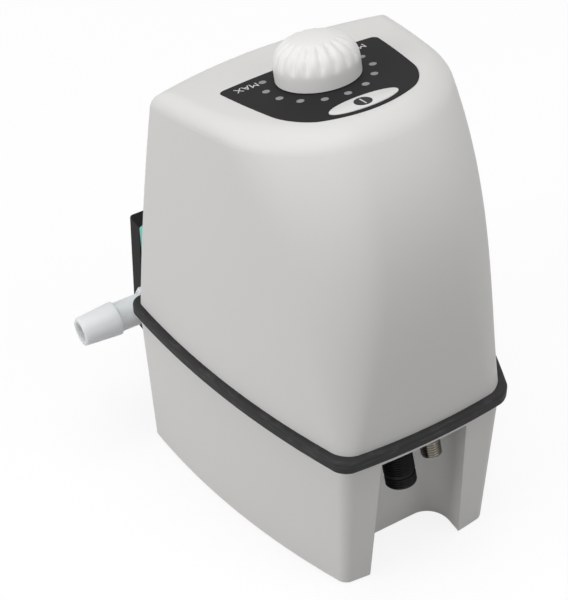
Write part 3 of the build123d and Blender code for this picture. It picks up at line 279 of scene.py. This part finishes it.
feed(film_shader, Base_Color=wipes.tint(FILM_DARK, FILM_PALE),
     Roughness=wipes * WIPE_GLOSS + FILM_ROUGHNESS, Normal=weave.bump(FILM_DEPTH))
coat(film, "control_panel")

INK_GRAIN, INK_DEPTH, INK_THIN = 3000.0, 0.004, 0.88
INK_SPECULAR, INK_ROUGHNESS, INK_GLOSS = 0.1, 0.42, 0.12


def ink(name, colour):
    """Screen-printed ink, a little uneven where it crossed the film's texture."""
    material, shader, place = material_of(name, {"IOR": PLASTIC_IOR, "Specular IOR Level": INK_SPECULAR})
    cover = place.noise(INK_GRAIN)
    feed(shader, Base_Color=cover.tint(shaded(colour, INK_THIN), colour),
         Roughness=cover * INK_GLOSS + INK_ROUGHNESS, Normal=cover.bump(INK_DEPTH))
    return material


def piece_of(name, shape, material, body, place):
    """A piece from a finished mesh at this place, riding on a body and taking its finish from a slot."""
    bmesh.ops.recalc_face_normals(shape, faces=shape.faces)
    shape.transform(place)
    mesh = bpy.data.meshes.new(name)
    shape.to_mesh(mesh)
    shape.free()
    piece = bpy.data.objects.new(name, mesh)
    bpy.context.scene.collection.objects.link(piece)
    mesh.materials.append(material)
    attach(piece, body)
    return piece


PRINT = 0.02 * MM


def printed(name, shape, material, body, height, thickness=PRINT):
    """A thin print on the dial plane, from a filled outline in the plane's own coordinates."""
    raised = bmesh.ops.extrude_face_region(shape, geom=list(shape.faces))["geom"]
    tops = [part for part in raised if isinstance(part, bmesh.types.BMVert)]
    bmesh.ops.translate(shape, vec=(0, 0, thickness), verts=tops)
    place = dial_plane @ Matrix.Translation((0, 0, height))
    return piece_of(name, shape, material, body, place)


word_ink = ink("word_ink", colour=(0.62, 0.62, 0.62))
DOTS, DOT_STEP = 11, math.radians(24.55)
DOT_CIRCLE, DOT_RADIUS, DOT_SIDES = 19.4 * MM, 1.34 * MM, 32
DOT_MIDDLE = Vector((0.35, 0.6, 0)) * MM
dots = bmesh.new()
for index in range(DOTS):
    turn = (index - (DOTS - 1) / 2) * DOT_STEP
    spot = DOT_MIDDLE + DOT_CIRCLE * Vector((-math.sin(turn), math.cos(turn), 0))
    bmesh.ops.create_circle(dots, cap_ends=True, segments=DOT_SIDES, radius=DOT_RADIUS,
                            matrix=Matrix.Translation(spot))
printed("scale_dots", dots, ink("dot_ink", colour=(0.28, 0.28, 0.285)), "frame", FILM_TOP)

WORD_LOW, WORD_HIGH, WORD_CURVE_STEPS = -11.6 * MM, -8.3 * MM, 4
for word, first, last in (("MAX", 18.7 * MM, 27.4 * MM), ("MIN", -24.9 * MM, -17.7 * MM)):
    text = bpy.data.curves.new("word_" + word, "FONT")
    text.body = word
    text.resolution_u = WORD_CURVE_STEPS
    letters = bpy.data.objects.new("letters", text)
    bpy.context.scene.collection.objects.link(letters)
    bpy.context.view_layer.update()
    outline = bpy.data.meshes.new_from_object(letters.evaluated_get(bpy.context.evaluated_depsgraph_get()))
    bpy.data.objects.remove(letters)
    shape = bmesh.new()
    shape.from_mesh(outline)
    across = [corner.co.x for corner in shape.verts]
    along = [corner.co.y for corner in shape.verts]
    wide = (last - first) / (max(across) - min(across))
    high = (WORD_HIGH - WORD_LOW) / (max(along) - min(along))
    shape.transform(Matrix.Translation((first, WORD_LOW, 0)) @ Matrix.Diagonal((wide, high, 1, 1))
                    @ Matrix.Translation((-min(across), -min(along), 0)))
    printed("scale_word_" + word, shape, word_ink, "frame", FILM_TOP)

# Power key
# A pale oval key shows through the film behind the dial, almost flush with it. A dark disc with a pale
# bar is printed on it, and both go down with it. Under the hood's wall it has a flange and a stem.
KEY_CENTRE, KEY_TOP, KEY_EASE, EASE_SHARE = 29.4 * MM, 0.25 * MM, 0.12 * MM, 0.3
KEY_HALF_LENGTH, KEY_HALF_WIDTH, KEY_RIM = 13.3 * MM, 4.5 * MM, 0.9 * MM
KEY_ROOF, KEY_STEM, KEY_STEM_RADIUS, KEY_STEPS = -2.75 * MM, 3.5 * MM, 1.8 * MM, 288
MARK_OFFSET, MARK_RADIUS, MARK_SIDES, MARK_BAR = 0.3 * MM, 3.2 * MM, 64, (0.5 * MM, 4.4 * MM)


def ring_of(shape, radius, height, steps):
    """A level ring of points, whose radius and height are numbers or functions of the step."""
    points = []
    for step in range(steps):
        turn = 2 * math.pi * step / steps
        out = radius(step) if callable(radius) else radius
        up = height(step) if callable(height) else height
        points.append(shape.verts.new((out * math.cos(turn), out * math.sin(turn), up)))
    return points


def skin(shape, rings):
    """Faces between each ring and the next, and a flat end where a ring is a single point."""
    for low, high in zip(rings, rings[1:]):
        count = max(len(low), len(high))
        for step in range(count):
            after = (step + 1) % count
            around = [low[step % len(low)], low[after % len(low)],
                      high[after % len(high)], high[step % len(high)]]
            shape.faces.new(list(dict.fromkeys(around)))


SHARP_TURN = math.radians(35)


def smooth(piece, sharp_turn=SHARP_TURN):
    """Shade the piece smoothly, but keep the edges sharp where it turns by more than this angle."""
    piece.data.polygons.foreach_set("use_smooth", [True] * len(piece.data.polygons))
    piece.data.set_sharp_from_angle(angle=sharp_turn)


def oval(grow):
    """The radius at each step round the key's outline, grown by this much."""
    long, wide = KEY_HALF_LENGTH + grow, KEY_HALF_WIDTH + grow
    turns = [2 * math.pi * step / KEY_STEPS for step in range(KEY_STEPS)]
    outline = [long * wide / math.hypot(wide * math.cos(turn), long * math.sin(turn)) for turn in turns]
    return lambda step: outline[step]


key_place = dial_plane @ Matrix.Translation((0, KEY_CENTRE, 0))
key_shape = bmesh.new()
rings = [[key_shape.verts.new((0, 0, KEY_ROOF - KEY_STEM))]]
for radius, height in ((KEY_STEM_RADIUS, KEY_ROOF - KEY_STEM), (KEY_STEM_RADIUS, KEY_ROOF - KEY_RIM),
                       (oval(KEY_RIM), KEY_ROOF - KEY_RIM), (oval(KEY_RIM), KEY_ROOF), (oval(0), KEY_ROOF),
                       (oval(0), KEY_TOP - KEY_EASE),
                       (oval(-EASE_SHARE * KEY_EASE), KEY_TOP - EASE_SHARE * KEY_EASE),
                       (oval(-KEY_EASE), KEY_TOP)):
    rings.append(ring_of(key_shape, radius, height, KEY_STEPS))
rings.append([key_shape.verts.new((0, 0, KEY_TOP))])
skin(key_shape, rings)
key_plastic = moulded("key_plastic", colour=(0.66, 0.66, 0.65), grain=0.25, depth=0.004,
                      roughness=0.5, specular=0.3, edge=0)
key_cap = piece_of("key_cap", key_shape, key_plastic, "key", key_place)
smooth(key_cap)
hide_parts("power_key")
mark_place = Matrix.Translation((MARK_OFFSET, KEY_CENTRE, 0))
disc = bmesh.new()
bmesh.ops.create_circle(disc, cap_ends=True, segments=MARK_SIDES, radius=MARK_RADIUS, matrix=mark_place)
printed("key_disc", disc, ink("key_ink", colour=(0.028, 0.028, 0.029)), "key", KEY_TOP)
bar = bmesh.new()
bmesh.ops.create_grid(bar, x_segments=1, y_segments=1, size=0.5,
                      matrix=mark_place @ Matrix.Diagonal((*MARK_BAR, 1, 1)))
printed("key_bar", bar, word_ink, "key", KEY_TOP, 2 * PRINT)

# Speed knob
# The dial's cap is white plastic, moulded with a plain skirt and eighteen soft lobes whose valleys
# run out towards its flat crown.
KNOB_RADIUS, KNOB_LOW, KNOB_SKIRT, KNOB_TOP = 15.15 * MM, 0.5 * MM, 4.3 * MM, 15.0 * MM
KNOB_WALL, KNOB_HOLLOW, KNOB_DOME = 2.0 * MM, KNOB_SKIRT + 2.0 * MM, 2.6
LOBES, LOBE_DEPTH, LOBE_TURN, VALLEY_ROUND, VALLEY_POWER = 18, 1.05 * MM, 0.13, 0.14, 2.5
LOBES_START, LOBES_FULL = KNOB_SKIRT + 1.0 * MM, KNOB_SKIRT + 5.2 * MM
CROWN_RADIUS, LOBES_RADIUS, LIFT_START, LIFT_FULL = 7 * MM, 11.5 * MM, 10 * MM, 15 * MM
SKIRT_SHARE, KNOB_RINGS, LOBE_STEPS, KNOB_SHARP_TURN = 0.16, 60, 16, math.radians(50)
KNOB_STEPS = LOBES * LOBE_STEPS


def knob_side(share):
    """Radius and height of the knob's outside at a share of the way from its rim to its crown."""
    if share < SKIRT_SHARE:
        return KNOB_RADIUS, KNOB_LOW + (KNOB_SKIRT - KNOB_LOW) * share / SKIRT_SHARE
    angle = math.pi / 2 * (share - SKIRT_SHARE) / (1 - SKIRT_SHARE)
    return (KNOB_RADIUS * math.cos(angle) ** (2 / KNOB_DOME),
            KNOB_SKIRT + (KNOB_TOP - KNOB_SKIRT) * math.sin(angle) ** (2 / KNOB_DOME))


def eased(value, low, high):
    """Zero up to low, one from high on, and a soft step between them."""
    part = min(1, max(0, (value - low) / (high - low)))
    return part * part * (3 - 2 * part)


def valley(step):
    """How deep the knob is cut at this step round it: one between two lobes, zero on a lobe's middle."""
    across = (step / LOBE_STEPS + LOBE_TURN) % 1 * 2 - 1
    return (1 - min(1, math.hypot(across, VALLEY_ROUND) - VALLEY_ROUND / 2)) ** VALLEY_POWER


knob_shape = bmesh.new()
rings = [[knob_shape.verts.new((0, 0, KNOB_HOLLOW))]]
for height in (KNOB_HOLLOW, KNOB_LOW):
    rings.append(ring_of(knob_shape, KNOB_RADIUS - KNOB_WALL, height, KNOB_STEPS))
for ring in range(KNOB_RINGS):
    radius, height = knob_side(ring / KNOB_RINGS)
    depth = LOBE_DEPTH * eased(height, LOBES_START, LOBES_FULL) * eased(radius, CROWN_RADIUS, LOBES_RADIUS)
    drop = depth * eased(height, LIFT_START, LIFT_FULL)
    rings.append(ring_of(knob_shape, lambda step: radius - depth * valley(step),
                         lambda step: height - drop * valley(step), KNOB_STEPS))
rings.append([knob_shape.verts.new((0, 0, KNOB_TOP))])
skin(knob_shape, rings)
knob_plastic = moulded("knob_plastic", colour=(0.74, 0.735, 0.725), grain=0.3, depth=0.005,
                       roughness=0.42, specular=0.2, edge=0)
knob_cap = piece_of("knob_cap", knob_shape, knob_plastic, "dial", dial_plane)
smooth(knob_cap, KNOB_SHARP_TURN)
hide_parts("speed_knob")

# Pump head
# The head is a stack of plastic plates, a black one outside and teal ones that hold the valves and
# passages, clamped to the crankcase by four socket screws. Its valves, diaphragm and sealing rings are
# of moulded rubber, as are the motor's mounts and the feet of the pump.
end_plastic = moulded("end_plate_plastic", colour=(0.011, 0.011, 0.0115), grain=0.3, depth=0.006,
                      roughness=0.5, specular=0.05)
coat(end_plastic, "end_plate")
head_plastic = moulded("head_plastic", colour=(0.15, 0.50, 0.44), grain=0.3, depth=0.004,
                       roughness=0.34, specular=0.5)
coat(head_plastic, "head_plate", "middle_plate")
coat(rubber("elastomer", colour=(0.05, 0.05, 0.05)), "inlet_valve", "outlet_valve", "diaphragm",
     "nozzle_rings", "vibration_mounts", "rubber_feet")

# Hose nozzles
# Both nozzles are turned from natural, slightly see-through white plastic. One is screwed into
# each side of the head, against a rubber ring.
NOZZLE_SEE_THROUGH = 7.0 * MM
nozzle_plastic = moulded("nozzle_plastic", colour=(0.78, 0.79, 0.81), grain=0.5, depth=0.004,
                         roughness=0.42, specular=0.3)
nozzle_shader = nozzle_plastic.node_tree.nodes["Principled BSDF"]
nozzle_shader.inputs["Subsurface Weight"].default_value = 1.0
nozzle_shader.inputs["Subsurface Radius"].default_value = (1, 1, 1)
nozzle_shader.inputs["Subsurface Scale"].default_value = NOZZLE_SEE_THROUGH
coat(nozzle_plastic, "inlet_nozzle", "outlet_nozzle")

# Connectors
# Two round chassis connectors hang from the roof of the recess: a black plastic one for power
# and a smaller one of nickel-plated brass for signals. Both end in a fine thread for the coupling nut.
SCRATCH_SCALE, SCRATCH_DETAIL, SCRATCH_GLOSS, SCRATCH_DEPTH = 900.0, 4.0, 0.14, 0.004
TARNISH_SCALE, TARNISH_DETAIL, TARNISH_GLOSS, TARNISH_DULL = 110.0, 4.0, 0.1, 0.82


def metal(name, colour, roughness, streak=(1.0, 1.0, 1.0)):
    """Bright or brushed metal with fine scratches and a slightly uneven tarnish."""
    material, shader, place = material_of(name, {"Metallic": 1.0})
    squeezed = place.make("Mapping", {}, {"Vector": place, "Scale": streak})
    scratches = squeezed.noise(SCRATCH_SCALE, SCRATCH_DETAIL)
    tarnish = place.noise(TARNISH_SCALE, TARNISH_DETAIL)
    middle = (SCRATCH_GLOSS + TARNISH_GLOSS) / 2
    feed(shader, Base_Color=tarnish.tint(shaded(colour, TARNISH_DULL), colour),
         Roughness=scratches * SCRATCH_GLOSS + tarnish * TARNISH_GLOSS + (roughness - middle),
         Normal=scratches.bump(SCRATCH_DEPTH))
    return material


ROOF_TILT = math.radians(20)
ROOF_MIDDLE = Vector((0, 56.625, 61.551)) * MM
roof_down = Vector((0, math.sin(ROOF_TILT), -math.cos(ROOF_TILT)))
SEAT_RIM, SEAT_HEIGHT, SEAT_SHARE = 1.0 * MM, 1.0 * MM, 0.8
SHELL_WALL, SOCKET_DEPTH, SHELL_TAIL = 1.3 * MM, 8.0 * MM, 9.5 * MM
PITCH, THREAD_DEPTH, TURN_STEPS, PITCH_STEPS = 1.0 * MM, 0.6 * MM, 96, 12
FLANK, CREST, GROOVE_DEPTH = 1.25, 0.15, 1.15 * THREAD_DEPTH


def threaded(name, node, x, radius, reach, material, groove=(0, 0)):
    """A connector's hollow shell: tail, seat against the roof, helical thread, groove if any, and bore."""
    shape = bmesh.new()
    rings = [[shape.verts.new((0, 0, -SHELL_TAIL))]]
    for out, down in ((radius, -SHELL_TAIL), (radius, 0), (radius + SEAT_RIM, 0),
                      (radius + SEAT_RIM, SEAT_SHARE * SEAT_HEIGHT),
                      (radius + SEAT_SHARE * SEAT_RIM, SEAT_HEIGHT)):
        rings.append(ring_of(shape, out, down, TURN_STEPS))
    rows = int((reach - SEAT_HEIGHT) / PITCH * PITCH_STEPS)
    for row in range(rows + 1):
        down = SEAT_HEIGHT + (reach - SEAT_HEIGHT) * row / rows

        def outside(step):
            wave = abs((down / PITCH - step / TURN_STEPS) % 1 * 2 - 1)
            cut = THREAD_DEPTH * min(1, max(0, FLANK * wave - CREST))
            if groove[0] < down < groove[1]:
                cut = GROOVE_DEPTH
            return radius - max(cut, THREAD_DEPTH - (reach - down))

        rings.append(ring_of(shape, outside, down, TURN_STEPS))
    for down in (reach, reach - SOCKET_DEPTH):
        rings.append(ring_of(shape, radius - SHELL_WALL, down, TURN_STEPS))
    rings.append([shape.verts.new((0, 0, reach - SOCKET_DEPTH))])
    skin(shape, rings)
    turned = Vector((0, 0, 1)).rotation_difference(roof_down).to_matrix().to_4x4()
    piece = piece_of(name, shape, material, "frame",
                     Matrix.Translation(ROOF_MIDDLE + Vector((x, 0, 0))) @ turned)
    smooth(piece)
    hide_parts(node)


connector_plastic = moulded("black_plastic", colour=(0.009, 0.009, 0.0095), grain=0.3, depth=0.006,
                            roughness=0.45, specular=0.2, edge=0)
nickel = metal("connector_metal", colour=(0.36, 0.34, 0.305), roughness=0.2, streak=(1.0, 1.0, 6.0))
coat(connector_plastic, "power_connector", "power_insert", "power_nut", "signal_insert", "key_switch")
coat(nickel, "signal_connector", "signal_nut")
threaded("power_shell", "power_connector", x=7.0 * MM, radius=6.0 * MM,
         reach=18.2 * MM, material=connector_plastic, groove=(13.0 * MM, 14.0 * MM))
threaded("signal_shell", "signal_connector", x=-7.5 * MM, radius=4.0 * MM,
         reach=12.6 * MM, material=nickel)

# Screws, steel parts, castings and magnets
# Every screw is steel, and so are the motor's can, shaft and rotor, the bearings, the bracket and the
# potentiometer. The crankcase, the rod and the motor's flange are cast in light alloy, and the magnets
# are pressed from dark powder.
steel = metal("steel", colour=(0.56, 0.56, 0.57), roughness=0.34, streak=(1.0, 1.0, 4.0))
coat(steel, "head_screws", "housing_screws", "control_board_screws", "driver_board_screws",
     "bracket_screws", "motor_screws", "motor_can", "motor_shaft", "shaft_bearings", "rotor_core",
     "eccentric", "rod_bearing", "mounting_bracket", "potentiometer_body", "potentiometer_nut",
     "potentiometer_spindle")
cast_alloy = metal("cast_alloy", colour=(0.58, 0.58, 0.58), roughness=0.5)
coat(cast_alloy, "crankcase", "connecting_rod", "motor_flange")
coat(metal("magnet", colour=(0.12, 0.12, 0.13), roughness=0.6), "motor_magnets")

# Circuit boards
# Both boards are green laminate with copper tracks under a solder mask, where they show as paler
# lines. Small screws hold one under the hood's sloping top and the other inside the base.
TRACK_SCALE, TRACK_WIDTH, TRACK_OFFSET = 90.0, 0.012, 0.37
MASK_GREEN, MASK_DARK = (0.05, 0.2, 0.09, 1), (0.045, 0.18, 0.085, 1)
TRACK_GREEN = (0.10, 0.32, 0.15, 1)
DUST_SCALE, DUST_GLOSS, DUST_DEPTH, MASK_ROUGHNESS = 700.0, 0.2, 0.01, 0.25
board, board_shader, board_place = material_of("board", {"IOR": PLASTIC_IOR})
tracks = board_place.make("TexBrick", {"offset": TRACK_OFFSET}, {
    "Vector": board_place, "Scale": TRACK_SCALE, "Mortar Size": TRACK_WIDTH, "Color1": MASK_GREEN,
    "Color2": MASK_DARK, "Mortar": TRACK_GREEN})
dust = board_place.noise(DUST_SCALE)
feed(board_shader, Base_Color=tracks, Roughness=dust * DUST_GLOSS + MASK_ROUGHNESS,
     Normal=dust.bump(DUST_DEPTH))
coat(board, "control_board", "driver_board")

# Last update
# The view layer is brought up to date.
bpy.context.view_layer.update()
